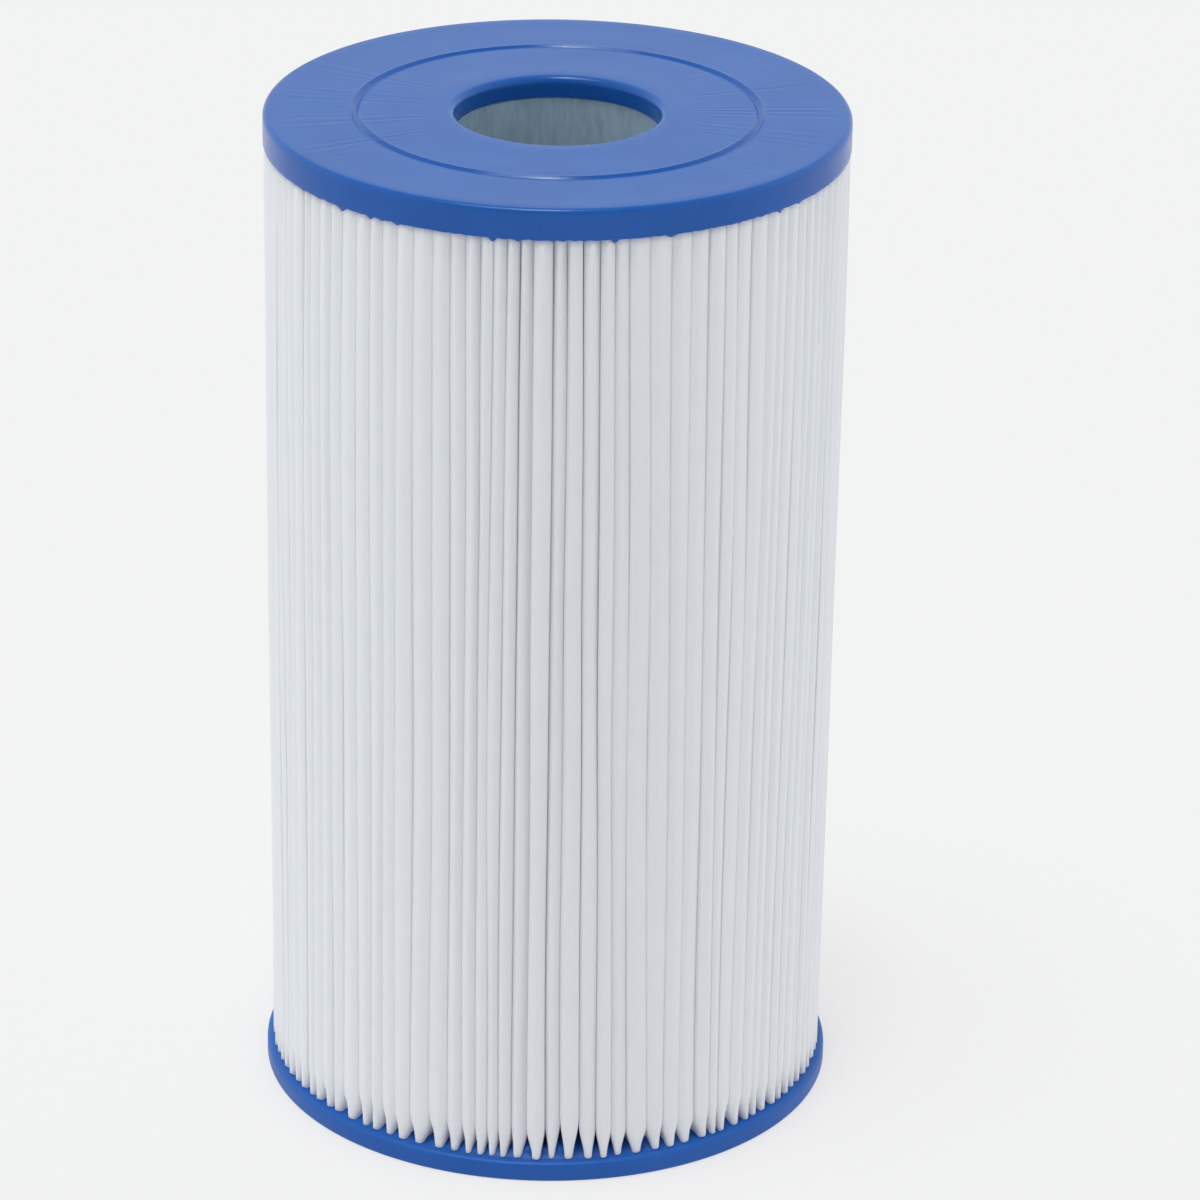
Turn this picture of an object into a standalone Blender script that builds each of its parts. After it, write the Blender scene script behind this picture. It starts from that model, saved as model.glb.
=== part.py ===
"""Pleated filter cartridge for a pool or spa, as an assembly.

Two cast urethane end caps hold a ring of folded filter cloth round a stack of
moulded core sections. Everything is in metres, with +Z up. The origin is the
centre of the bottom cap's lower face, and Z is the cartridge's axis.
"""

import math

import bmesh
import bpy
from mathutils import Vector

MM = 0.001
GAP = 0.3 * MM  # clearance kept between neighbouring pieces

# Driving dimensions of the whole cartridge.
HEIGHT = 273 * MM
TOP_CAP_RADIUS = 76.2 * MM
BOTTOM_CAP_RADIUS = 76.8 * MM
BORE_RADIUS = 26.5 * MM

# End caps: thick rings that the pleats butt against, each with a shallower
# seat round the bore that takes the end of the core.
TOP_THICKNESS = 8.2 * MM
TOP_SEAT = 5.6 * MM
BOTTOM_THICKNESS = 5.4 * MM
BOTTOM_SEAT = 3.4 * MM
BORE_FILLET = 2.0 * MM
TOP_EDGE_FILLET = 1.0 * MM
BOTTOM_EDGE_FILLET = 0.8 * MM
GROOVE_RADIUS = 52.4 * MM
GROOVE_WIDTH = 2.0 * MM
GROOVE_DEPTH = 0.5 * MM
GROOVE_SLOPE = 0.4 * MM
CAP_STEPS = 72

# Filter cloth, folded into radial pleats.
PLEATS = 110
CLOTH = 0.5 * MM
FOLD_OUTER = 75.5 * MM
FOLD_INNER = 30.5 * MM
TIP_HALF_WIDTH = 1.1 * MM
TIP_ROUND = 0.7 * MM
VALLEY_HALF_WIDTH = 0.185 * MM
SEAM_TIP_HALF_WIDTH = 1.35 * MM
SEAM_ANGLE = math.radians(90)

# Weld bead that closes the cloth into a ring, between the seam pleat's walls.
SEAM_THICKNESS = 0.7 * MM
SEAM_DEPTH = 9.0 * MM
SEAM_ROUND = 0.15 * MM

# Core: equal lattice sections, each with a socket below and a spigot above.
CORE_SECTIONS = 4
CORE_INNER = 27.1 * MM
CORE_OUTER = 30.1 * MM
SPIGOT_LENGTH = 3.6 * MM
SPIGOT_OUTER = 28.3 * MM
CORE_STEP = 0.8 * MM  # height of the sloping shoulder at a spigot or a socket
WINDOWS_AROUND = 12
WINDOWS_HIGH = 3
WINDOW_RIB = 4.2 * MM
CORE_LOWER_RIM = 8.0 * MM  # plain collar below the first windows
CORE_UPPER_RIM = 12.5 * MM  # plain collar above the last ones

# Heights of the cloth's and the core's ends, clear of the caps.
MEDIA_BOTTOM = BOTTOM_THICKNESS + GAP
MEDIA_TOP = HEIGHT - TOP_THICKNESS - GAP
CORE_BOTTOM = BOTTOM_SEAT + GAP
CORE_TOP = HEIGHT - TOP_SEAT - GAP

# Colour, roughness.
CAP_BLUE = ((0.062, 0.142, 0.392, 1.0), 0.38)
CLOTH_WHITE = ((0.78, 0.81, 0.85, 1.0), 0.92)
SEAM_WHITE = ((0.70, 0.72, 0.72, 1.0), 0.55)
CORE_GREY = ((0.36, 0.42, 0.41, 1.0), 0.60)


def clear_scene():
    for old in list(bpy.data.objects):
        bpy.data.objects.remove(old, do_unlink=True)


def make_material(name, look):
    colour, roughness = look
    material = bpy.data.materials.new(name)
    material.use_nodes = True
    shader = material.node_tree.nodes["Principled BSDF"]
    shader.inputs["Base Color"].default_value = colour
    shader.inputs["Roughness"].default_value = roughness
    shader.inputs["Metallic"].default_value = 0.0
    material.diffuse_color = colour
    return material


def add_object(name, bm, material, sharp_angle=35):
    """Turns a bmesh into a smooth-shaded object whose faces point outwards."""
    bmesh.ops.recalc_face_normals(bm, faces=bm.faces)
    mesh = bpy.data.meshes.new(name)
    bm.to_mesh(mesh)
    bm.free()
    mesh.shade_smooth()
    mesh.set_sharp_from_angle(angle=math.radians(sharp_angle))
    mesh.materials.append(material)
    made = bpy.data.objects.new(name, mesh)
    bpy.context.scene.collection.objects.link(made)
    return made


def polar(radius, angle, z):
    return Vector((radius * math.cos(angle), radius * math.sin(angle), z))


def fillet(radius_at, z_at, size, start_deg, end_deg, steps):
    """Points of an arc in the (radius, z) half-plane, about its own centre."""
    points = []
    for i in range(steps + 1):
        angle = math.radians(start_deg + (end_deg - start_deg) * i / steps)
        points.append(
            (radius_at + size * math.cos(angle), z_at + size * math.sin(angle))
        )
    return points


def turned(name, outline, material):
    """A ring turned about Z from a closed outline of (radius, z) points."""
    bm = bmesh.new()
    corners = [bm.verts.new((radius, 0.0, z)) for radius, z in outline]
    sides = [bm.edges.new((a, b)) for a, b in zip(corners, corners[1:] + corners[:1])]
    bmesh.ops.spin(
        bm,
        geom=corners + sides,
        cent=(0, 0, 0),
        axis=(0, 0, 1),
        angle=math.tau,
        steps=CAP_STEPS,
        use_merge=True,
    )
    return add_object(name, bm, material)


def core_seat(face_z, seat_z):
    """The cap's inner side, from its flat face in to the seat and the bore."""
    wall = CORE_OUTER + GAP
    return [(wall, face_z), (wall, seat_z), (BORE_RADIUS, seat_z)]


def make_top_cap(material):
    top = HEIGHT
    half = GROOVE_WIDTH / 2
    bore_edge = fillet(
        BORE_RADIUS + BORE_FILLET, top - BORE_FILLET, BORE_FILLET, 180, 90, 4
    )
    groove = [
        (GROOVE_RADIUS - half, top),
        (GROOVE_RADIUS - half + GROOVE_SLOPE, top - GROOVE_DEPTH),
        (GROOVE_RADIUS + half - GROOVE_SLOPE, top - GROOVE_DEPTH),
        (GROOVE_RADIUS + half, top),
    ]
    outer_edge = fillet(
        TOP_CAP_RADIUS - TOP_EDGE_FILLET,
        top - TOP_EDGE_FILLET,
        TOP_EDGE_FILLET,
        90,
        0,
        3,
    )
    face_z = top - TOP_THICKNESS
    outline = bore_edge + groove + outer_edge + [(TOP_CAP_RADIUS, face_z)]
    outline += core_seat(face_z, top - TOP_SEAT)
    return turned("top_end_cap", outline, material)


def make_bottom_cap(material):
    bore_edge = fillet(BORE_RADIUS + BORE_FILLET, BORE_FILLET, BORE_FILLET, 180, 270, 4)
    outer_edge = fillet(
        BOTTOM_CAP_RADIUS - BOTTOM_EDGE_FILLET,
        BOTTOM_EDGE_FILLET,
        BOTTOM_EDGE_FILLET,
        270,
        360,
        3,
    )
    ledge_edge = fillet(
        BOTTOM_CAP_RADIUS - BOTTOM_EDGE_FILLET,
        BOTTOM_THICKNESS - BOTTOM_EDGE_FILLET,
        BOTTOM_EDGE_FILLET,
        0,
        90,
        3,
    )
    outline = bore_edge + outer_edge + ledge_edge
    outline += core_seat(BOTTOM_THICKNESS, BOTTOM_SEAT)
    return turned("bottom_end_cap", outline, material)


def pleat_section(tip_half):
    """Half of one pleat, from valley to tip, as pairs of points on the two
    faces of the cloth. A point is its radius and its distance to the side of
    the pleat's own centre plane.
    """
    valley = math.pi * FOLD_INNER / PLEATS - VALLEY_HALF_WIDTH
    return [
        ((FOLD_INNER + CLOTH, valley), (FOLD_INNER, valley - CLOTH)),
        (
            (FOLD_OUTER - TIP_ROUND, tip_half),
            (FOLD_OUTER - TIP_ROUND - CLOTH / 2, tip_half - CLOTH),
        ),
    ]


def pleat_ribs(index):
    """The pairs of points across one pleat, one flank and then the other. The
    seam pleat's tip is left open, because the cloth begins and ends there.
    """
    pitch = math.tau / PLEATS
    centre = SEAM_ANGLE + pitch * index
    is_seam = index % PLEATS == 0
    half = pleat_section(SEAM_TIP_HALF_WIDTH if is_seam else TIP_HALF_WIDTH)
    flanks = []
    for side in (-1, 1):
        flank = []
        for pair in half:
            flank.append(
                [polar(r, centre + side * away / r, MEDIA_BOTTOM) for r, away in pair]
            )
        flanks.append(flank)
    rising, falling = flanks[0], flanks[1][::-1]
    if is_seam:
        return rising, falling
    tip = [
        polar(FOLD_OUTER, centre, MEDIA_BOTTOM),
        polar(FOLD_OUTER - CLOTH, centre, MEDIA_BOTTOM),
    ]
    return rising + [tip], falling


def make_media(material):
    """A zigzag ribbon of quads, extruded up to the top cap."""
    ribs = list(pleat_ribs(0)[1])
    for index in range(1, PLEATS):
        rising, falling = pleat_ribs(index)
        ribs += rising + falling
    ribs += pleat_ribs(PLEATS)[0]
    bm = bmesh.new()
    rows = [[bm.verts.new(point) for point in rib] for rib in ribs]
    floor = [bm.faces.new((a[0], a[1], b[1], b[0])) for a, b in zip(rows, rows[1:])]
    grown = bmesh.ops.extrude_face_region(bm, geom=floor, use_keep_orig=True)
    raised = [item for item in grown["geom"] if isinstance(item, bmesh.types.BMVert)]
    bmesh.ops.translate(bm, verts=raised, vec=(0, 0, MEDIA_TOP - MEDIA_BOTTOM))
    return add_object("pleated_media", bm, material)


def make_seam(material):
    """A flat bead with rounded long edges, standing in the seam pleat."""
    size = Vector((SEAM_THICKNESS, SEAM_DEPTH, MEDIA_TOP - MEDIA_BOTTOM))
    bm = bmesh.new()
    bmesh.ops.create_cube(bm, size=1.0)
    bmesh.ops.scale(bm, vec=size, verts=bm.verts)
    long_edges = [
        edge for edge in bm.edges if abs(edge.verts[0].co.z - edge.verts[1].co.z) > GAP
    ]
    bmesh.ops.bevel(bm, geom=long_edges, offset=SEAM_ROUND, segments=2, affect="EDGES")
    made = add_object("media_seam", bm, material)
    made.location = polar(
        FOLD_OUTER - SEAM_DEPTH / 2, SEAM_ANGLE, (MEDIA_BOTTOM + MEDIA_TOP) / 2
    )
    return made


def core_levels(length):
    """Rows of a core section, as (z, inner radius, outer radius, window above)."""
    socket = SPIGOT_OUTER + GAP
    shoulder = length - CORE_STEP
    levels = [
        (0.0, socket, CORE_OUTER, False),
        (SPIGOT_LENGTH + GAP, socket, CORE_OUTER, False),
        (SPIGOT_LENGTH + GAP + CORE_STEP, CORE_INNER, CORE_OUTER, False),
    ]
    open_height = length - CORE_LOWER_RIM - CORE_UPPER_RIM
    window = (open_height - (WINDOWS_HIGH - 1) * WINDOW_RIB) / WINDOWS_HIGH
    for row in range(WINDOWS_HIGH):
        low = CORE_LOWER_RIM + row * (window + WINDOW_RIB)
        levels.append((low, CORE_INNER, CORE_OUTER, True))
        levels.append((low + window, CORE_INNER, CORE_OUTER, False))
    levels.append((shoulder, CORE_INNER, CORE_OUTER, False))
    levels.append((length, CORE_INNER, SPIGOT_OUTER, False))
    levels.append((length + SPIGOT_LENGTH, CORE_INNER, SPIGOT_OUTER, False))
    return levels


def core_angles():
    """Each window's two edges, in turn round the core."""
    pitch = math.tau / WINDOWS_AROUND
    rib = WINDOW_RIB / CORE_OUTER
    angles = []
    for i in range(WINDOWS_AROUND):
        angles.append(pitch * i + rib / 2)
        angles.append(pitch * (i + 1) - rib / 2)
    return angles


def make_core_section(name, length, material):
    """A tube made of quads with the window cells left out and walled round."""
    levels = core_levels(length)
    angles = core_angles()
    count = len(angles)
    bm = bmesh.new()
    inner = [[bm.verts.new(polar(row[1], a, row[0])) for a in angles] for row in levels]
    outer = [[bm.verts.new(polar(row[2], a, row[0])) for a in angles] for row in levels]

    def solid(row, column):
        inside = 0 <= row < len(levels) - 1
        return inside and not (levels[row][3] and column % 2 == 0)

    def wall(first, second):
        bm.faces.new(
            (
                inner[first[0]][first[1]],
                inner[second[0]][second[1]],
                outer[second[0]][second[1]],
                outer[first[0]][first[1]],
            )
        )

    for row in range(len(levels)):
        for column in range(count):
            after = (column + 1) % count
            if solid(row, column):
                for skin in (inner, outer):
                    bm.faces.new(
                        (
                            skin[row][column],
                            skin[row][after],
                            skin[row + 1][after],
                            skin[row + 1][column],
                        )
                    )
            if solid(row, column) != solid(row - 1, column):
                wall((row, column), (row, after))
            if solid(row, column) != solid(row, column - 1):
                wall((row, column), (row + 1, column))
    return add_object(name, bm, material, sharp_angle=40)


def make_core(material):
    """The stack of equal sections, from seat to seat."""
    room = CORE_TOP - CORE_BOTTOM
    pitch = (room - SPIGOT_LENGTH + GAP) / CORE_SECTIONS
    for number in range(CORE_SECTIONS):
        made = make_core_section(f"core_section_{number + 1}", pitch - GAP, material)
        made.location.z = CORE_BOTTOM + number * pitch


def main():
    clear_scene()
    cap_blue = make_material("cap_urethane", CAP_BLUE)
    make_top_cap(cap_blue)
    make_bottom_cap(cap_blue)
    make_media(make_material("media_cloth", CLOTH_WHITE))
    make_seam(make_material("seam_weld", SEAM_WHITE))
    make_core(make_material("core_plastic", CORE_GREY))


main()
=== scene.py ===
"""Looks of the pleated filter cartridge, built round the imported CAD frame.

The front is -Y. An azimuth is counted from the front, positive towards +X, so a
point at azimuth a and radius r is (r sin a, -r cos a). Lengths are in metres.
"""

import math

import bpy
import numpy as np
from mathutils import Matrix, Vector


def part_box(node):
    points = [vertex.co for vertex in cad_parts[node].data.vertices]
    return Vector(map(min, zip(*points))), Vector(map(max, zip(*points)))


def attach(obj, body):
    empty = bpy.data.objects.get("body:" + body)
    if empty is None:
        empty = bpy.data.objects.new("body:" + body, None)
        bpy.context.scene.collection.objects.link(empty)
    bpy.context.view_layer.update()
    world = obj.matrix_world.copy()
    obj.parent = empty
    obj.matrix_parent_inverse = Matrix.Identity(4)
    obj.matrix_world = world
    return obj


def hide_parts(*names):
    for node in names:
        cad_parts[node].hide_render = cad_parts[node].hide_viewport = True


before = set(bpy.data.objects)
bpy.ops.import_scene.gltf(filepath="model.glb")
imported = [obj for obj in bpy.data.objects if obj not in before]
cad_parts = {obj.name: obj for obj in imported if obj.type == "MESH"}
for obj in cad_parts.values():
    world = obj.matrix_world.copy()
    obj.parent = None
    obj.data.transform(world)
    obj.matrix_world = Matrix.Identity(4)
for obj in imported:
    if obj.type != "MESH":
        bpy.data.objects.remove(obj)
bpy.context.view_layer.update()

MM = 0.001

# Seeds of the random draws.
PACKING_SEED = 50528
WANDER_SEED = 6
PLEAT_SEED = 7
STREAK_SEED = 21
RAGGED_SEED = 22
WICK_SEED = 23
SAG_SEED = 24
PATCH_SEED = 25
CLIMB_SEED = 31

PLEAT_RNG = np.random.default_rng(PLEAT_SEED)

# Sizes read from the frame. The faces are the caps' sides towards the cloth.
TOP_LOW, TOP_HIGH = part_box("top_end_cap")
BOTTOM_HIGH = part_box("bottom_end_cap")[1]
MEDIA_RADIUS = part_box("pleated_media")[1].x
SEAM_LOW, SEAM_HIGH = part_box("media_seam")
CORE_NODES = sorted(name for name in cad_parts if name.startswith("core_section"))
TOP_RADIUS = TOP_HIGH.x
BOTTOM_RADIUS = BOTTOM_HIGH.x
TOP_Z = TOP_HIGH.z
TOP_FACE_Z = TOP_LOW.z
BOTTOM_FACE_Z = BOTTOM_HIGH.z

# Sizes that the CAD sets inside the nodes' boxes.
BORE_RADIUS = 26.5 * MM
TOP_SEAT = 5.6 * MM  # from the top face down to the core's upper end
BOTTOM_SEAT = 3.4 * MM  # from the floor up to the core's lower end
CORE_INNER = 27.1 * MM
CORE_OUTER = 30.1 * MM
CORE_SEAT_RADIUS = 30.4 * MM
GROOVE_RADIUS = 52.4 * MM

# The caps' groove and roundings, which differ from the CAD's.
GROOVE_HALF = 1.25 * MM
GROOVE_DEPTH = 0.9 * MM
GROOVE_SLOPE = 0.95 * MM
GROOVE_SOFT = 0.12 * MM
BORE_ROUND = 2.0 * MM
RIM_ROUND = 1.4 * MM
TOP_LOWER_ROUND = 0.3 * MM
BOTTOM_LOWER_ROUND = 0.8 * MM
WICK_REACH = 1.3 * MM
NEAR = 0.01 * MM  # allowance when a point is compared with an edge

# The pleats.
PLEATS = 110
CLOTH = 0.5 * MM  # the cloth's thickness
FOLD_INNER = 30.5 * MM  # radius of the folds by the core
VALLEY_HALF = 0.185 * MM  # half of the gap left between two pleats there
TIP_RADIUS_LOW = 75.1 * MM
TIP_RADIUS_GAIN = 0.8 * MM  # from the lower cap to the upper one
TOP_MARGIN = 0.35 * MM  # from the potted tips out to the upper cap's side
HIDDEN_DRAW = 1.2 * MM  # how far the tips are drawn in inside a cap

# Stretches of pleats that differ from the rest. Each is an amount, the azimuth of
# its middle and its width in degrees. The amounts are how much wider the pleats
# are spaced, how many degrees they lean, how far they stand apart and round, and
# how streaky the upper cap is.
WIDER = ((0.10, 25, 10), (-0.12, -9, 9), (0.10, 118, 14), (-0.08, -120, 25))
LEANING = ((3.0, 19, 13), (-1.2, 75, 20), (1.8, -140, 24), (-0.7, -60, 18))
CRISP = ((1.0, -1, 12), (0.5, 122, 22), (0.6, -135, 20))
STREAKY = ((1.0, -88, 30), (1.0, 92, 34))

# Each tip's wander along its height, as degrees and how many waves there are.
WANDER = ((0.24, 0.7), (0.15, 1.4), (0.07, 2.6))

# The tent's light: everywhere, then what is added from above, behind and both
# sides, and how much more comes from the right.
TENT_BASE = 0.26
TENT_OVERHEAD = 0.07
TENT_BEHIND = 0.62
TENT_SIDES = 0.9
TENT_RIGHT = 0.03

LIGHT_COLOUR = (0.92, 1.0, 0.97)
# Each lamp's name, strength, width in degrees and the direction its light takes.
LIGHTS = (
    ("softbox", 0.85, 26, (0.19, 0.15, -0.98)),
    ("overhead_lamp", 0.65, 9, (0.05, 0.15, -0.98)),
)

# The floor: how strongly it glows, half of its width and its quads along a side.
FLOOR_GLOW = 0.642
FLOOR_HALF = 4.0
FLOOR_STEPS = 8

# Sockets of a Mix node in colour mode: the two colours, and the result.
MIX_A, MIX_B, MIX_RESULT = 6, 7, 2

# The camera: its distance in front of the axis, its height, its turns in radians
# and its lens in millimetres.
CAMERA_DISTANCE = 1.4307
CAMERA_HEIGHT = 0.7622
CAMERA_PITCH = 0.4132
CAMERA_YAW = 0.0091
CAMERA_ROLL = 0.0168
CAMERA_LENS = 175.04


def smooth(x):
    """0 up to x = 0, 1 from x = 1 on, and an S between them."""
    x = np.clip(x, 0.0, 1.0)
    return x * x * (3 - 2 * x)


def bump(x, centre, width):
    """A bell curve of height 1 round centre."""
    return np.exp(-0.5 * ((x - centre) / width) ** 2)


def stretches(start, parts, azimuth):
    """start, plus each part's amount round the part's own azimuth."""
    total = start
    for amount, centre, width in parts:
        total = total + amount * bump(azimuth, centre, width)
    return total


def ring_noise(count, harmonics, seed):
    """Noise round a circle, about -1 to 1: a wave for each count of lobes given."""
    rng = np.random.default_rng(seed)
    turn = np.linspace(0, math.tau, count, endpoint=False)
    total = np.zeros(count)
    for lobes in harmonics:
        total += rng.normal() * np.cos(lobes * turn + rng.uniform(0, math.tau))
    return total / math.sqrt(0.5 * len(harmonics)) / 1.6


def make_camera():
    """The camera, in front of the cartridge and above it, looking down at it."""
    data = bpy.data.cameras.new("camera")
    data.lens = CAMERA_LENS
    data.sensor_width = 36.0
    data.clip_end = 50.0
    camera = bpy.data.objects.new("camera", data)
    bpy.context.scene.collection.objects.link(camera)
    forward = Vector(
        (
            math.sin(CAMERA_YAW) * math.cos(CAMERA_PITCH),
            math.cos(CAMERA_YAW) * math.cos(CAMERA_PITCH),
            -math.sin(CAMERA_PITCH),
        )
    )
    side = forward.cross(Vector((0, 0, 1))).normalized()
    up = side.cross(forward)
    right = math.cos(CAMERA_ROLL) * side + math.sin(CAMERA_ROLL) * up
    above = -math.sin(CAMERA_ROLL) * side + math.cos(CAMERA_ROLL) * up
    turned = Matrix((right, above, -forward)).transposed().to_4x4()
    camera.matrix_world = (
        Matrix.Translation((0, -CAMERA_DISTANCE, CAMERA_HEIGHT)) @ turned
    )
    bpy.context.scene.camera = camera


# ---------------------------------------------------------------- mesh helpers


def add_mesh(name, points, faces, material, sharp_angle=None):
    """A smooth-shaded mesh object, with edges over sharp_angle degrees kept sharp."""
    mesh = bpy.data.meshes.new(name)
    mesh.from_pydata(points, [], faces)
    mesh.validate()
    mesh.update()
    mesh.shade_smooth()
    if sharp_angle:
        mesh.set_sharp_from_angle(angle=math.radians(sharp_angle))
    mesh.materials.append(material)
    made = bpy.data.objects.new(name, mesh)
    bpy.context.scene.collection.objects.link(made)
    return made


def torus_faces(rows, columns):
    """Quads of a grid of points that wraps both ways."""
    row, column = np.meshgrid(np.arange(rows), np.arange(columns), indexing="ij")
    next_row = (row + 1) % rows
    after = (column + 1) % columns
    quads = np.stack(
        [
            row * columns + column,
            row * columns + after,
            next_row * columns + after,
            next_row * columns + column,
        ],
        axis=-1,
    )
    return quads.reshape(-1, 4).tolist()


def arc(radius_at, z_at, size, start_deg, end_deg, steps):
    """(radius, z) points on an arc of that size round (radius_at, z_at)."""
    angles = np.radians(np.linspace(start_deg, end_deg, steps + 1))
    return [
        (radius_at + size * math.cos(a), z_at + size * math.sin(a)) for a in angles
    ]


def line(first, last, steps):
    """(radius, z) points after the first one, up to the last one."""
    share = np.linspace(0, 1, steps + 1)[1:]
    return [
        (first[0] + (last[0] - first[0]) * s, first[1] + (last[1] - first[1]) * s)
        for s in share
    ]


# ------------------------------------------------------------------- materials


class Nodes:
    """Short calls for making a material's node tree."""

    def __init__(self, name):
        self.material = bpy.data.materials.new(name)
        self.material.use_nodes = True
        self.tree = self.material.node_tree
        self.shader = self.tree.nodes["Principled BSDF"]
        self.coords = self.tree.nodes.new("ShaderNodeTexCoord").outputs["Object"]

    def set(self, **values):
        for name, value in values.items():
            self.shader.inputs[name.replace("_", " ")].default_value = value

    def link(self, output, node, name):
        self.tree.links.new(output, node.inputs[name])

    def height(self):
        node = self.tree.nodes.new("ShaderNodeSeparateXYZ")
        self.tree.links.new(self.coords, node.inputs[0])
        return node.outputs["Z"]

    def mapped(self, scale, turn=(0, 0, 0)):
        node = self.tree.nodes.new("ShaderNodeMapping")
        node.inputs["Scale"].default_value = scale
        node.inputs["Rotation"].default_value = turn
        self.link(self.coords, node, "Vector")
        return node.outputs["Vector"]

    def noise(self, scale, detail=3.0, roughness=0.5, vector=None):
        node = self.tree.nodes.new("ShaderNodeTexNoise")
        node.inputs["Scale"].default_value = scale
        node.inputs["Detail"].default_value = detail
        node.inputs["Roughness"].default_value = roughness
        self.link(vector or self.coords, node, "Vector")
        return node.outputs["Fac"]

    def remap(self, value, low, high, to_low, to_high):
        node = self.tree.nodes.new("ShaderNodeMapRange")
        node.inputs["From Min"].default_value = low
        node.inputs["From Max"].default_value = high
        node.inputs["To Min"].default_value = to_low
        node.inputs["To Max"].default_value = to_high
        self.link(value, node, "Value")
        return node.outputs["Result"]

    def mix(self, factor, first, second):
        node = self.tree.nodes.new("ShaderNodeMix")
        node.data_type = "RGBA"
        for socket, value in ((MIX_A, first), (MIX_B, second)):
            if hasattr(value, "is_linked"):
                self.tree.links.new(value, node.inputs[socket])
            else:
                node.inputs[socket].default_value = (*value, 1.0)
        self.tree.links.new(factor, node.inputs[0])
        return node.outputs[MIX_RESULT]

    def maths(self, operation, first, second):
        node = self.tree.nodes.new("ShaderNodeMath")
        node.operation = operation
        for socket, value in ((0, first), (1, second)):
            if hasattr(value, "is_linked"):
                self.tree.links.new(value, node.inputs[socket])
            else:
                node.inputs[socket].default_value = value
        return node.outputs[0]

    def bump(self, height, distance, strength):
        node = self.tree.nodes.new("ShaderNodeBump")
        node.inputs["Distance"].default_value = distance
        node.inputs["Strength"].default_value = strength
        self.link(height, node, "Height")
        return node.outputs["Normal"]


def urethane():
    """Cast polyurethane: satin blue and a little cloudy."""
    n = Nodes("cast_urethane")
    cloud = n.remap(n.noise(38.0, 4.0, 0.6), 0.3, 0.7, 0.0, 1.0)
    colour = n.mix(cloud, (0.007, 0.091, 0.405), (0.011, 0.104, 0.445))
    n.link(colour, n.shader, "Base Color")
    dull = n.remap(n.noise(70.0, 5.0, 0.65), 0.3, 0.7, 0.20, 0.28)
    scuffed = n.remap(n.height(), 0.006, 0.012, 0.20, 0.0)  # the end it stands on
    n.link(n.maths("ADD", dull, scuffed), n.shader, "Roughness")
    n.link(n.bump(n.noise(60.0, 3.0), 0.0004, 0.25), n.shader, "Normal")
    n.set(IOR=1.36)
    return n.material


def spunbond():
    """Spunbond polyester: matt white, mottled, with fibres that cross each way."""
    n = Nodes("spunbond_cloth")
    mottle = n.remap(n.noise(150.0, 4.0, 0.6), 0.32, 0.68, 0.0, 1.0)
    patches = n.remap(n.noise(22.0, 3.0), 0.3, 0.7, 0.0, 1.0)
    colour = n.mix(mottle, (0.846, 0.853, 0.902), (0.869, 0.868, 0.912))
    colour = n.mix(n.maths("MULTIPLY", patches, 0.4), colour, (0.867, 0.858, 0.916))
    fibres = None
    for tilt in (-0.9, -0.3, 0.35, 0.95):
        strand = n.noise(1500.0, 2.0, 0.6, n.mapped((1, 1, 0.12), (tilt, tilt, 0)))
        strand = n.remap(strand, 0.45, 0.62, 0.0, 1.0)
        fibres = strand if fibres is None else n.maths("MAXIMUM", fibres, strand)
    colour = n.mix(n.maths("MULTIPLY", fibres, 0.3), colour, (0.891, 0.887, 0.925))
    n.link(colour, n.shader, "Base Color")
    n.link(n.remap(fibres, 0.0, 1.0, 0.95, 0.80), n.shader, "Roughness")
    n.link(n.bump(fibres, 0.0001, 0.35), n.shader, "Normal")
    n.set(IOR=1.4)
    return n.material


def weld():
    """Hot-melt bead: off-white, waxy, with small ripples along its length."""
    n = Nodes("weld_bead")
    cloud = n.remap(n.noise(160.0, 3.0), 0.3, 0.7, 0.0, 1.0)
    n.link(n.mix(cloud, (0.60, 0.61, 0.60), (0.72, 0.72, 0.70)), n.shader, "Base Color")
    n.link(n.remap(cloud, 0.0, 1.0, 0.32, 0.5), n.shader, "Roughness")
    n.link(n.bump(n.noise(500.0, 2.0), 0.0001, 0.5), n.shader, "Normal")
    return n.material


def core_plastic():
    """Moulded polypropylene, pale blue-grey, with flow marks and fine streaks."""
    n = Nodes("core_polypropylene")
    flow = n.noise(60.0, 4.0, 0.6, n.mapped((1, 1, 0.3)))
    flow = n.remap(flow, 0.3, 0.7, 0.0, 1.0)
    streak = n.noise(700.0, 3.0, 0.6, n.mapped((1, 1, 0.25)))
    streak = n.remap(streak, 0.35, 0.65, -0.3, 0.3)
    flow = n.maths("ADD", flow, streak)
    n.link(n.mix(flow, (0.36, 0.48, 0.60), (0.55, 0.67, 0.78)), n.shader, "Base Color")
    n.link(n.remap(flow, 0.0, 1.0, 0.42, 0.56), n.shader, "Roughness")
    n.link(n.bump(n.noise(380.0, 2.0), 0.00008, 0.4), n.shader, "Normal")
    return n.material


def floor_panel():
    """A panel that glows, as on a product photographer's light table, so that it
    looks nearly white and takes only a faint shadow.
    """
    n = Nodes("floor_panel")
    grain = n.remap(n.noise(300.0, 3.0), 0.3, 0.7, 0.0, 1.0)
    colour = n.mix(grain, (0.235, 0.235, 0.235), (0.245, 0.245, 0.245))
    n.link(colour, n.shader, "Base Color")
    n.link(n.remap(grain, 0.0, 1.0, 0.9, 0.95), n.shader, "Roughness")
    n.set(Specular_IOR_Level=0.0, Emission_Color=(1.0, 0.975, 0.988, 1.0))
    n.set(Emission_Strength=FLOOR_GLOW)
    return n.material


# ---------------------------------------------------------------------- pleats

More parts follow.
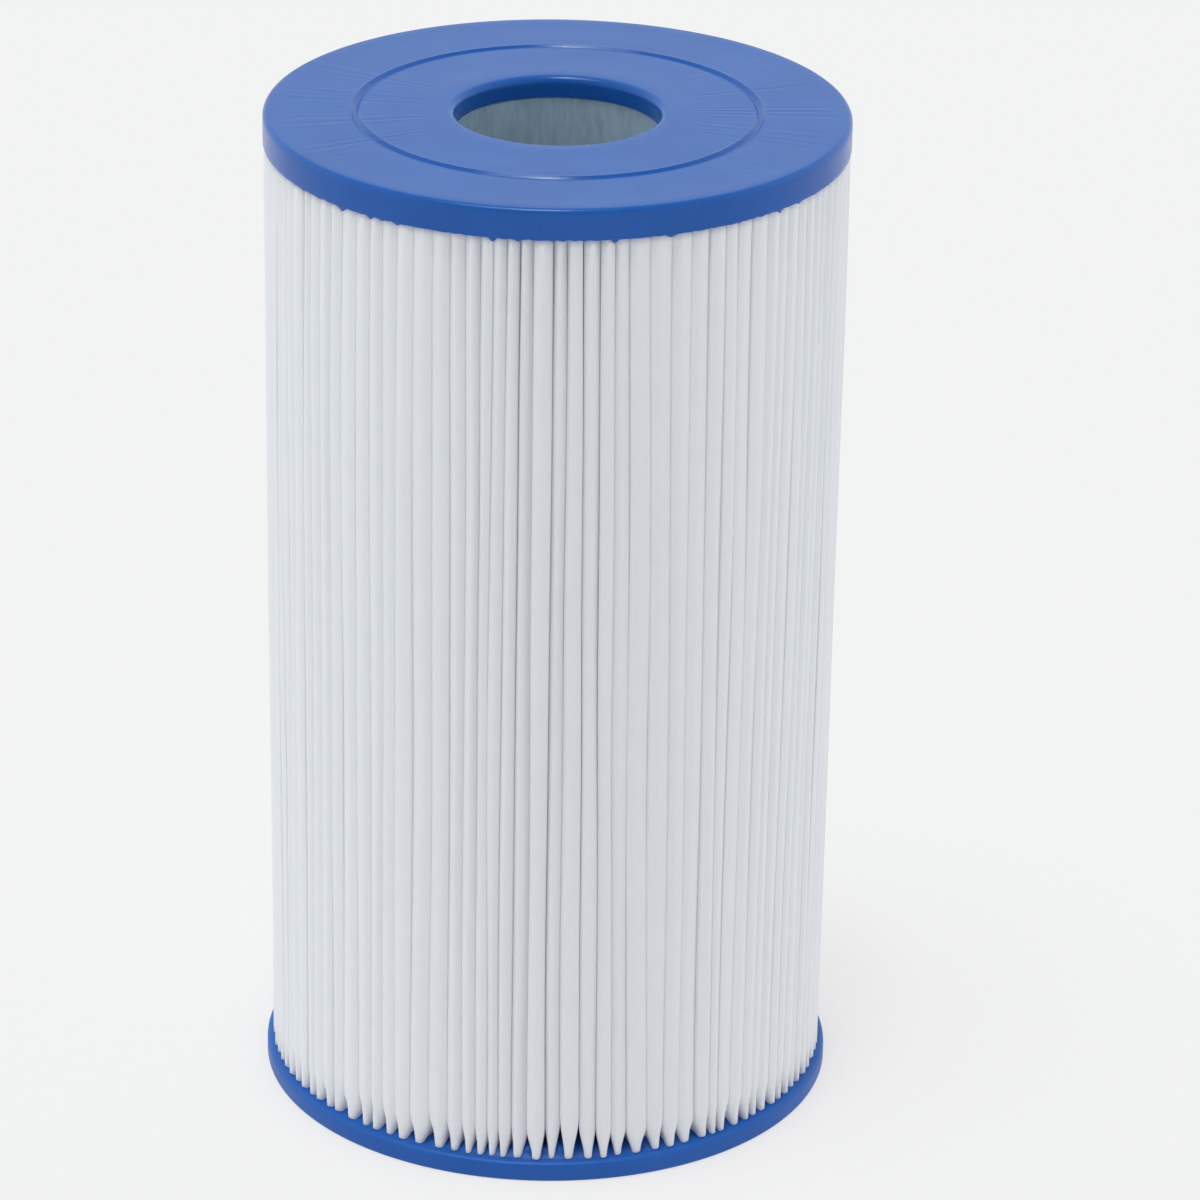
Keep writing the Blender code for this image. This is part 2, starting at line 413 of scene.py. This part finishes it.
# Heights of the cloth's rows, which are close together by the caps and even
# between them: in mm above the lower cap's face and in mm below the upper one's.
ROWS_LOW = (-1.7, -0.4, 0.6, 1.6, 2.6, 3.8, 5.0, 6.5, 8.2, 10.2, 12.8, 16.0, 20.0)
ROWS_BETWEEN = 13
ROWS_HIGH = (20.0, 12.0, 7.0, 4.0, 2.2, 0.9, -0.3, -1.7)


def row_heights():
    """Heights of the cloth's rows, from the lowest to the highest."""
    low = [BOTTOM_FACE_Z + MM * height for height in ROWS_LOW]
    high = [TOP_FACE_Z - MM * depth for depth in ROWS_HIGH]
    between = np.linspace(low[-1], high[0], ROWS_BETWEEN + 2)[1:-1]
    return np.concatenate([low, between, high])


def pleat_azimuths():
    """Each pleat's azimuth at mid height, in degrees, listed from the back round.
    The pleats are unevenly packed: closer left of the front, wider to its right.
    """
    rng = np.random.default_rng(PACKING_SEED)
    turn = np.linspace(-180, 180, PLEATS, endpoint=False)
    spacing = stretches(1.0, WIDER, turn)
    spacing = spacing + 0.17 * rng.normal(size=PLEATS).clip(-1.5, 1.9)
    edges = np.cumsum(spacing) * 360 / spacing.sum()
    return -180 + edges - edges[0]


def tip_azimuths(share):
    """The tips' azimuths in degrees, as an array of heights by pleats. share is
    the height as a share of the cloth's. Some stretches of pleats lean, and each
    tip wanders by itself.
    """
    rng = np.random.default_rng(WANDER_SEED)
    middle = pleat_azimuths()[None, :]
    share = share[:, None]
    lean = stretches(0.0, LEANING, middle)
    wander = 0.0
    for size, turns in WANDER:
        phase = rng.uniform(0, math.tau, PLEATS)
        strength = size * rng.normal(size=PLEATS).clip(-1.8, 1.8)
        wander = wander + strength * np.sin(turns * math.tau * share + phase)
    return middle + lean * (0.5 - share) + wander


# Half of a pleat's section by the tip, as the share of its half width and the
# depth in mm, where the pleat is full and where it is pinched in the resin.
TIP_SHAPE_FULL = ((0.24, 0.16), (0.50, 0.75), (0.74, 1.30), (1.0, 1.85))
TIP_SHAPE_PINCHED = ((0.62, 0.25), (0.92, 0.80), (0.97, 1.30), (1.0, 1.80))
# The stations on the wall behind the tip, as shares of the way in to the valley.
WALL_SHARES = (0.40, 1.0)


def waves(share, size, turns):
    """A slow ripple along the height for each pleat, as heights by pleats."""
    phase = PLEAT_RNG.uniform(0, 1, PLEATS)
    return size * np.sin(math.tau * (turns * share[:, None] + phase))


def draws(low, high):
    """A random draw for each pleat, from a bell curve cut off at low and high."""
    return PLEAT_RNG.normal(size=PLEATS).clip(low, high)


def make_media(material):
    """The cloth as one closed folded sheet, from potted edge to potted edge."""
    z = row_heights()
    share = (z - z[0]) / (z[-1] - z[0])
    above_bottom = ((z - BOTTOM_FACE_Z) / MM)[:, None]
    below_top = ((TOP_FACE_Z - z) / MM)[:, None]
    tips = np.radians(tip_azimuths(share))
    middle = pleat_azimuths()

    # Half of the angle to the neighbour on each side, at the tips.
    before = np.diff(np.concatenate([tips[:, -1:] - math.tau, tips], axis=1), axis=1) / 2
    after = np.roll(before, -1, axis=1)

    # Where the pleats stand apart and round. Elsewhere they press flat together.
    crisp = stretches(0.2, CRISP, middle)

    # How open each pleat is: pinched where it is potted, full between the caps.
    rise = 8.0 + 2.0 * np.abs(PLEAT_RNG.normal(size=PLEATS)) + 2.0 * bump(middle, 1, 9)
    grown = smooth((above_bottom + 0.5) / rise)
    slack = np.abs(PLEAT_RNG.normal(size=PLEATS)).clip(0, 2)
    fullness = 0.998 - 0.003 * crisp * slack
    pinched = 0.44 + 0.05 * draws(-1.5, 1.5)
    open_share = pinched + (fullness + waves(share, 0.001, 1.3) - pinched) * grown
    near_top = 1 - smooth((below_top + 0.5) / (35 + 15 * crisp))
    open_share -= 0.01 * crisp.clip(0, 1.1) * near_top

    # How deep the tip's round is: some pleats are sharp and others nearly flat.
    spread = (0.12 + 0.15 * crisp) * draws(-1.6, 1.6)
    round_depth = (0.17 + 0.60 * crisp) * (1 + spread)
    round_depth = round_depth * (1 + 0.55 * near_top) + waves(share, 0.06, 0.8)
    # A pleat's tip turns to one side, so one shoulder of it is deeper.
    turned = (0.15 + 0.12 * crisp) * draws(-1.6, 1.6)

    # Radius of the tips: flush with the upper cap, drawn in at the lower one.
    uneven = (0.05 + 0.25 * crisp) * MM * draws(-2, 1.2)
    widening = smooth(share * 1.15)[:, None]
    tip_radius = TIP_RADIUS_LOW + TIP_RADIUS_GAIN * widening + uneven
    tip_radius += waves(share, (0.05 + 0.07 * crisp) * MM, 1.7)
    potted = smooth((3.0 - below_top) / 3.5)
    tip_radius += potted * (TOP_RADIUS - TOP_MARGIN - tip_radius)
    inside_cap = smooth((0.4 - below_top) / 0.7) + smooth((0.1 - above_bottom) / 0.5)
    tip_radius -= inside_cap * HIDDEN_DRAW

    columns_out, columns_in = [], []
    regular = -math.pi + math.tau * np.arange(PLEATS) / PLEATS
    even_gap = math.pi / PLEATS
    valley_share = 1 - VALLEY_HALF / (even_gap * FOLD_INNER)
    depth = MEDIA_RADIUS - FOLD_INNER

    def station(k, side, x, share_of_gap, gap):
        """One point across both faces of the cloth, at every height. x is the
        share of the way in from the tip, and share_of_gap the share of the way
        round from the pleat's middle to where its neighbour begins.
        """
        gap = gap + (even_gap - gap) * x
        outside = tip_radius[:, k] + (FOLD_INNER - tip_radius[:, k]) * x
        half = share_of_gap * gap * outside
        inside = np.maximum(half - CLOTH, 0.25 * half)
        skins = ((columns_out, half, 0.0), (columns_in, inside, CLOTH))
        for columns, width, inset in skins:
            tip = tip_radius[:, k] - inset
            inner = FOLD_INNER + CLOTH - inset
            radius = tip + (inner - tip) * x
            centre = tips[:, k] + (regular[k] - tips[:, k]) * x
            angle = centre + side * width / radius
            columns.append(
                np.stack([radius * np.sin(angle), -radius * np.cos(angle), z], axis=-1)
            )

    for k in range(PLEATS):
        for side, gap in ((-1, before), (1, after)):
            widest = open_share[:, k]
            shoulder = round_depth[:, k] * (1 + side * turned[k])
            stations = [(0 * z, 0 * z)] if side > 0 else []
            flank = []
            for full, pinch in zip(TIP_SHAPE_FULL, TIP_SHAPE_PINCHED):
                across = pinch[0] + (full[0] - pinch[0]) * grown[:, k]
                down = pinch[1] + (full[1] * shoulder - pinch[1]) * grown[:, k]
                flank.append((down * MM / depth, widest * across))
            start = flank[-1][0]
            for wall in WALL_SHARES:
                wide = widest + (valley_share - widest) * smooth(wall) ** 0.8
                flank.append((start + (1 - start) * wall, wide))
            stations += flank if side > 0 else flank[::-1]
            for x, wide in stations:
                station(k, side, x, wide, gap[:, k])

    outer = np.stack(columns_out, axis=1)
    inner = np.stack(columns_in, axis=1)
    points = np.concatenate([outer, inner[::-1]], axis=0)
    faces = torus_faces(*points.shape[:2])
    return add_mesh("pleated_cloth", points.reshape(-1, 3), faces, material)


# ------------------------------------------------------------------------ caps

CAP_STEPS = PLEATS * 8
CAP_ANGLES = np.linspace(-math.pi, math.pi, CAP_STEPS, endpoint=False)
BESIDE_GROOVE = 3.0 * MM  # width of the finely divided face on each side of it
RAGGED_WIDTH = 3.3 * MM  # width of the ragged edge under the upper cap
CLIMB_WIDTH = 9.0 * MM  # width of the finely divided resin on the lower cap


def pleats_before(share):
    """How many pleats come before each of CAP_ANGLES, counted from the back, with
    the way on to the next tip as a fraction. share is as in tip_azimuths.
    """
    tips = np.sort(np.radians(tip_azimuths(np.array([share])))[0])
    wrapped = np.concatenate([tips - math.tau, tips, tips + math.tau])
    return np.interp(CAP_ANGLES, wrapped, np.arange(-PLEATS, 2 * PLEATS))


def turned_cap(name, profile, lift, material):
    """A ring from a closed profile, with lift(radius, z) added to z. lift gives
    one height for the whole ring or one for each of CAP_ANGLES.
    """
    rows = []
    for radius, z in profile:
        x = radius * np.sin(CAP_ANGLES)
        y = -radius * np.cos(CAP_ANGLES)
        height = np.full(CAP_STEPS, z) + lift(radius, z)
        rows.append(np.stack([x, y, height], axis=-1))
    points = np.stack(rows, axis=0).reshape(-1, 3)
    return add_mesh(name, points, torus_faces(len(profile), CAP_STEPS), material, 50)


def groove_profile(inner, outer, top):
    """The groove's section from its inner edge to its outer edge."""
    soft = GROOVE_SOFT
    floor = top - GROOVE_DEPTH
    foot_in = inner + GROOVE_SLOPE
    foot_out = outer - GROOVE_SLOPE
    profile = line((inner - BESIDE_GROOVE, top), (inner - soft, top), 6)
    profile += [(inner + 0.3 * soft, top - 0.35 * soft)]
    profile += [(foot_in - soft, floor + 0.5 * soft), (foot_in, floor)]
    profile += [(GROOVE_RADIUS, floor), (foot_out, floor)]
    profile += [(foot_out + soft, floor + 0.5 * soft)]
    profile += [(outer - 0.3 * soft, top - 0.35 * soft), (outer + soft, top)]
    profile += line((outer + soft, top), (outer + BESIDE_GROOVE, top), 6)
    return profile


def top_cap_profile(inner, outer):
    """From the core's seat up the bore, over the face and back underneath."""
    top, face, seat = TOP_Z, TOP_FACE_Z, TOP_Z - TOP_SEAT
    edge = BORE_RADIUS + BORE_ROUND
    rim = TOP_RADIUS - RIM_ROUND
    small = TOP_LOWER_ROUND
    profile = [(BORE_RADIUS, seat)]
    profile += line((BORE_RADIUS, seat), (BORE_RADIUS, top - BORE_ROUND), 4)
    profile += arc(edge, top - BORE_ROUND, BORE_ROUND, 180, 90, 9)[1:]
    profile += line((edge, top), (inner - BESIDE_GROOVE, top), 6)
    profile += groove_profile(inner, outer, top)
    profile += line((outer + BESIDE_GROOVE, top), (rim, top), 7)
    profile += arc(rim, top - RIM_ROUND, RIM_ROUND, 90, 0, 8)[1:]
    profile += line((TOP_RADIUS, top - RIM_ROUND), (TOP_RADIUS, face + small), 5)
    profile += arc(TOP_RADIUS - small, face + small, small, 0, -90, 3)[1:]
    profile += line((TOP_RADIUS - small, face), (TOP_RADIUS - RAGGED_WIDTH, face), 6)
    profile += line((TOP_RADIUS - RAGGED_WIDTH, face), (CORE_SEAT_RADIUS, face), 4)
    profile += line((CORE_SEAT_RADIUS, face), (CORE_SEAT_RADIUS, seat), 2)
    return profile


def make_top_cap(material):
    """The upper cap: its face is slightly wavy, and its lower edge is ragged."""
    inner, outer = GROOVE_RADIUS - GROOVE_HALF, GROOVE_RADIUS + GROOVE_HALF
    sides = stretches(0.0, STREAKY, np.degrees(CAP_ANGLES))
    patches = 0.55 + 0.7 * ring_noise(CAP_STEPS, (4, 7, 9, 13, 17), PATCH_SEED)
    patches = patches.clip(0, 1)
    streak = ring_noise(CAP_STEPS, range(60, 190, 7), STREAK_SEED)
    streak = streak * patches * (0.2 + sides)
    sag = ring_noise(CAP_STEPS, (2, 3, 5), SAG_SEED)
    ragged = 0.07 * MM * ring_noise(CAP_STEPS, range(40, 200, 9), RAGGED_SEED)

    # The resin wicks a little way down some of the valleys between the pleats.
    reach = np.random.default_rng(WICK_SEED).uniform(-0.9, 1.0, 4 * PLEATS).clip(0, 1)
    count = pleats_before(1.0)
    into_valley = 0.5 - 0.5 * np.cos(math.tau * count)
    wick = WICK_REACH * reach[np.floor(count).astype(int) % PLEATS] * into_valley**1.5

    def lift(radius, z):
        if z > TOP_Z - NEAR and radius > BORE_RADIUS + BORE_ROUND - NEAR:
            # The waves die out towards the bore and the rim.
            zone = smooth((radius - 30 * MM) / (9 * MM))
            zone *= smooth((TOP_RADIUS - 1.5 * MM - radius) / (7 * MM))
            rings = bump(radius, inner - 1.5 * MM, 0.4 * MM)
            rings += bump(radius, outer + 1.5 * MM, 0.4 * MM)
            wavy = 0.02 * sag + 0.02 * streak - 0.012 * rings
            return MM * zone * (np.clip(wavy, -0.14, 0.10) - 0.10)
        if z > TOP_FACE_Z + TOP_LOWER_ROUND + NEAR:
            return 0.0
        if radius > TOP_RADIUS - TOP_LOWER_ROUND - NEAR:
            return ragged
        if radius > TOP_RADIUS - RAGGED_WIDTH - NEAR:
            hidden = smooth((TOP_RADIUS - 0.2 * MM - radius) / (0.5 * MM))
            return ragged - wick * hidden
        return 0.0

    return turned_cap("upper_cap", top_cap_profile(inner, outer), lift, material)


def bottom_cap_profile():
    """From the bore up over the core's seat, out to the rim and back underneath."""
    top = BOTTOM_FACE_Z
    edge = BOTTOM_RADIUS - RIM_ROUND
    low = BOTTOM_LOWER_ROUND
    under = BORE_RADIUS + BORE_ROUND
    profile = [(BORE_RADIUS, BORE_ROUND)]
    profile += line((BORE_RADIUS, BORE_ROUND), (BORE_RADIUS, BOTTOM_SEAT), 2)
    profile += line((BORE_RADIUS, BOTTOM_SEAT), (CORE_SEAT_RADIUS, BOTTOM_SEAT), 2)
    profile += line((CORE_SEAT_RADIUS, BOTTOM_SEAT), (CORE_SEAT_RADIUS, top), 2)
    profile += line((CORE_SEAT_RADIUS, top), (edge - CLIMB_WIDTH, top), 4)
    profile += line((edge - CLIMB_WIDTH, top), (edge, top), 12)
    profile += arc(edge, top - RIM_ROUND, RIM_ROUND, 90, 0, 6)[1:]
    profile += line((BOTTOM_RADIUS, top - RIM_ROUND), (BOTTOM_RADIUS, low), 3)
    profile += arc(BOTTOM_RADIUS - low, low, low, 0, -90, 5)[1:]
    profile += line((BOTTOM_RADIUS - low, 0.0), (under, 0.0), 8)
    profile += arc(under, BORE_ROUND, BORE_ROUND, 270, 180, 6)[1:-1]
    return profile[::-1]


def make_bottom_cap(material):
    """The lower cap: its resin climbs between the pleats, most at the front."""
    uneven = ring_noise(CAP_STEPS, range(20, 120, 7), CLIMB_SEED)
    front = bump(np.degrees(CAP_ANGLES), 1, 10)

    def lift(radius, z):
        if z <= BOTTOM_FACE_Z - NEAR:
            return 0.0
        ledge = smooth((BOTTOM_RADIUS - 1.3 * MM - radius) / (1.2 * MM))
        climb = smooth((BOTTOM_RADIUS - 2.2 * MM - radius) / (3.0 * MM))
        rise = 0.25 + 0.12 * uneven
        return MM * (ledge * rise + climb * (1.2 + 1.2 * front + 0.4 * uneven))

    return turned_cap("lower_cap", bottom_cap_profile(), lift, material)


# ------------------------------------------------------------------------ core

WINDOWS_AROUND = 12
WINDOWS_HIGH = 3
QUADS_ACROSS_WINDOW = 5
QUADS_ACROSS_RIB = 2
WINDOW_RIB = 4.2 * MM
CORE_LOWER_RIM = 8.0 * MM
CORE_UPPER_RIM = 12.5 * MM
SPIGOT_LENGTH = 3.6 * MM
SPIGOT_OUTER = 28.8 * MM
SOCKET_INNER = 29.1 * MM
CORE_STEP = 0.8 * MM
CORE_ROUND = 0.55 * MM


def core_rows(low, high):
    """(z, inner radius, outer radius, window above) up one core section."""
    shoulder = high - SPIGOT_LENGTH
    socket_end = low + SPIGOT_LENGTH + 0.3 * MM
    rows = [
        (low, SOCKET_INNER, CORE_OUTER, False),
        (socket_end, SOCKET_INNER, CORE_OUTER, False),
        (socket_end + CORE_STEP, CORE_INNER, CORE_OUTER, False),
    ]
    room = shoulder - low - CORE_LOWER_RIM - CORE_UPPER_RIM
    window = (room - (WINDOWS_HIGH - 1) * WINDOW_RIB) / WINDOWS_HIGH
    for number in range(WINDOWS_HIGH):
        start = low + CORE_LOWER_RIM + number * (window + WINDOW_RIB)
        rows.append((start, CORE_INNER, CORE_OUTER, True))
        rows.append((start + window, CORE_INNER, CORE_OUTER, False))
    rows.append((shoulder - CORE_STEP, CORE_INNER, CORE_OUTER, False))
    rows.append((shoulder, CORE_INNER, SPIGOT_OUTER, False))
    rows.append((high, CORE_INNER, SPIGOT_OUTER, False))
    return rows


def make_core_section(node, material):
    """A lattice tube of quads, with its edges rounded by a bevel."""
    low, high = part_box(node)
    rows = core_rows(low.z, high.z)
    rib = WINDOW_RIB / CORE_OUTER
    pitch = math.tau / WINDOWS_AROUND
    angles, is_window = [], []
    for number in range(WINDOWS_AROUND):
        start = pitch * number + rib / 2
        for step in range(QUADS_ACROSS_WINDOW):
            angles.append(start + (pitch - rib) * step / QUADS_ACROSS_WINDOW)
            is_window.append(True)
        for step in range(QUADS_ACROSS_RIB):
            angles.append(start + pitch - rib + rib * step / QUADS_ACROSS_RIB)
            is_window.append(False)
    count = len(angles)
    points = []
    for z, inner, outer, _ in rows:
        for radius in (inner, outer):
            points += [(radius * math.cos(a), radius * math.sin(a), z) for a in angles]

    def at(row, skin, column):
        """The number of a point. skin is 0 on the inside and 1 on the outside."""
        return (2 * row + skin) * count + column % count

    def solid(row, column):
        inside = 0 <= row < len(rows) - 1
        return inside and not (rows[row][3] and is_window[column % count])

    faces = []
    for row in range(len(rows)):
        for column in range(count):
            here = solid(row, column)
            inner = [at(row, 0, column), at(row, 0, column + 1)]
            outer = [at(row, 1, column), at(row, 1, column + 1)]
            above_inner = [at(row + 1, 0, column), at(row + 1, 0, column + 1)]
            above_outer = [at(row + 1, 1, column), at(row + 1, 1, column + 1)]
            if here:
                faces.append([*outer, *above_outer[::-1]])
                faces.append([inner[0], *above_inner, inner[1]])
            if here != solid(row - 1, column):
                ring = [*inner, *outer[::-1]]
                faces.append(ring if here else ring[::-1])
            if here != solid(row, column - 1):
                side = [inner[0], outer[0], above_outer[0], above_inner[0]]
                faces.append(side if here else side[::-1])
    made = add_mesh(node.replace("section", "lattice"), points, faces, material, 40)
    bevel = made.modifiers.new("rounded edges", "BEVEL")
    bevel.width = CORE_ROUND
    bevel.segments = 3
    bevel.limit_method = "ANGLE"
    bevel.angle_limit = math.radians(40)
    bevel.harden_normals = False
    return made


def make_seam(material):
    """The weld bead: a rounded bar whose faces ripple along its height."""
    steps = 90
    around = 16
    half_width = (SEAM_HIGH.x - SEAM_LOW.x) / 2
    half_depth = (SEAM_HIGH.y - SEAM_LOW.y) / 2
    centre_y = (SEAM_HIGH.y + SEAM_LOW.y) / 2
    heights = np.linspace(SEAM_LOW.z, SEAM_HIGH.z, steps)
    ripple = 0.12 * np.sin(heights / (5.0 * MM)) + 0.08 * np.sin(heights / (1.9 * MM))
    turn = np.linspace(0, math.tau, around, endpoint=False)
    points = []
    for z, wave in zip(heights, ripple):
        for a in turn:
            squared = [
                math.copysign(abs(math.cos(a)) ** 0.5, math.cos(a)),
                math.copysign(abs(math.sin(a)) ** 0.35, math.sin(a)),
            ]
            points.append(
                (
                    half_width * (0.85 + wave) * squared[0],
                    centre_y + half_depth * (0.97 + 0.1 * wave) * squared[1],
                    z,
                )
            )
    faces = []
    for row in range(steps - 1):
        for column in range(around):
            after = (column + 1) % around
            faces.append(
                [
                    row * around + column,
                    row * around + after,
                    (row + 1) * around + after,
                    (row + 1) * around + column,
                ]
            )
    faces.append(list(range(around))[::-1])
    faces.append([(steps - 1) * around + column for column in range(around)])
    return add_mesh("seam_bead", points, faces, material, 50)


# ----------------------------------------------------------------------- stage


def make_floor():
    """A flat grid under the cartridge."""
    across = FLOOR_STEPS + 1
    axis = np.linspace(-FLOOR_HALF, FLOOR_HALF, across)
    points = [(x, y, 0.0) for y in axis for x in axis]
    faces = []
    for row in range(FLOOR_STEPS):
        for column in range(FLOOR_STEPS):
            first = row * across + column
            faces.append([first, first + 1, first + across + 1, first + across])
    floor = add_mesh("floor", points, faces, floor_panel())


def make_world():
    """A white tent, bright behind and at both sides, and dimmer by the camera."""
    world = bpy.data.worlds.new("tent")
    world.use_nodes = True
    tree = world.node_tree

    def maths(operation, first, second):
        node = tree.nodes.new("ShaderNodeMath")
        node.operation = operation
        for socket, value in zip(node.inputs, (first, second)):
            if isinstance(value, float):
                socket.default_value = value
            else:
                tree.links.new(value, socket)
        return node.outputs[0]

    coords = tree.nodes.new("ShaderNodeTexCoord")
    split = tree.nodes.new("ShaderNodeSeparateXYZ")
    tree.links.new(coords.outputs["Generated"], split.inputs[0])
    x, y, z = split.outputs
    overhead = maths("MULTIPLY", maths("MAXIMUM", z, 0.0), TENT_OVERHEAD)
    behind = maths("MULTIPLY", maths("MAXIMUM", y, 0.0), TENT_BEHIND)
    sides = maths("MULTIPLY", maths("MULTIPLY", x, x), TENT_SIDES)
    right = maths("MULTIPLY", x, TENT_RIGHT)
    total = maths("ADD", maths("ADD", overhead, behind), maths("ADD", sides, right))
    tint = tree.nodes.new("ShaderNodeMix")
    tint.data_type = "RGBA"
    tree.links.new(maths("MAXIMUM", z, 0.0), tint.inputs[0])
    tint.inputs[MIX_A].default_value = (0.96, 0.99, 1.0, 1.0)
    tint.inputs[MIX_B].default_value = (0.86, 1.0, 0.92, 1.0)
    background = tree.nodes["Background"]
    tree.links.new(tint.outputs[MIX_RESULT], background.inputs["Color"])
    tree.links.new(maths("ADD", total, TENT_BASE), background.inputs["Strength"])
    bpy.context.scene.world = world


def make_lights():
    """A wide softbox and a small lamp, nearly overhead, to the left and the front."""
    for name, strength, width, direction in LIGHTS:
        data = bpy.data.lights.new(name, "SUN")
        data.energy = strength
        data.angle = math.radians(width)
        data.color = LIGHT_COLOUR
        lamp = bpy.data.objects.new(name, data)
        bpy.context.scene.collection.objects.link(lamp)
        lamp.rotation_mode = "QUATERNION"
        lamp.rotation_quaternion = Vector(direction).to_track_quat("-Z", "Y")


def place(piece, nodes):
    """Hang the piece on the root body, and hide the nodes that it stands for."""
    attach(piece, "root")
    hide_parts(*nodes)


def main():
    make_camera()
    blue = urethane()
    place(make_top_cap(blue), ["top_end_cap"])
    place(make_bottom_cap(blue), ["bottom_end_cap"])
    cloth = make_media(spunbond())
    place(cloth, ["pleated_media"])
    seam = make_seam(weld())
    place(seam, ["media_seam"])
    plastic = core_plastic()
    for node in CORE_NODES:
        place(make_core_section(node, plastic), [node])
    make_floor()
    make_world()
    make_lights()
    bpy.context.scene.view_settings.view_transform = "Standard"


main()
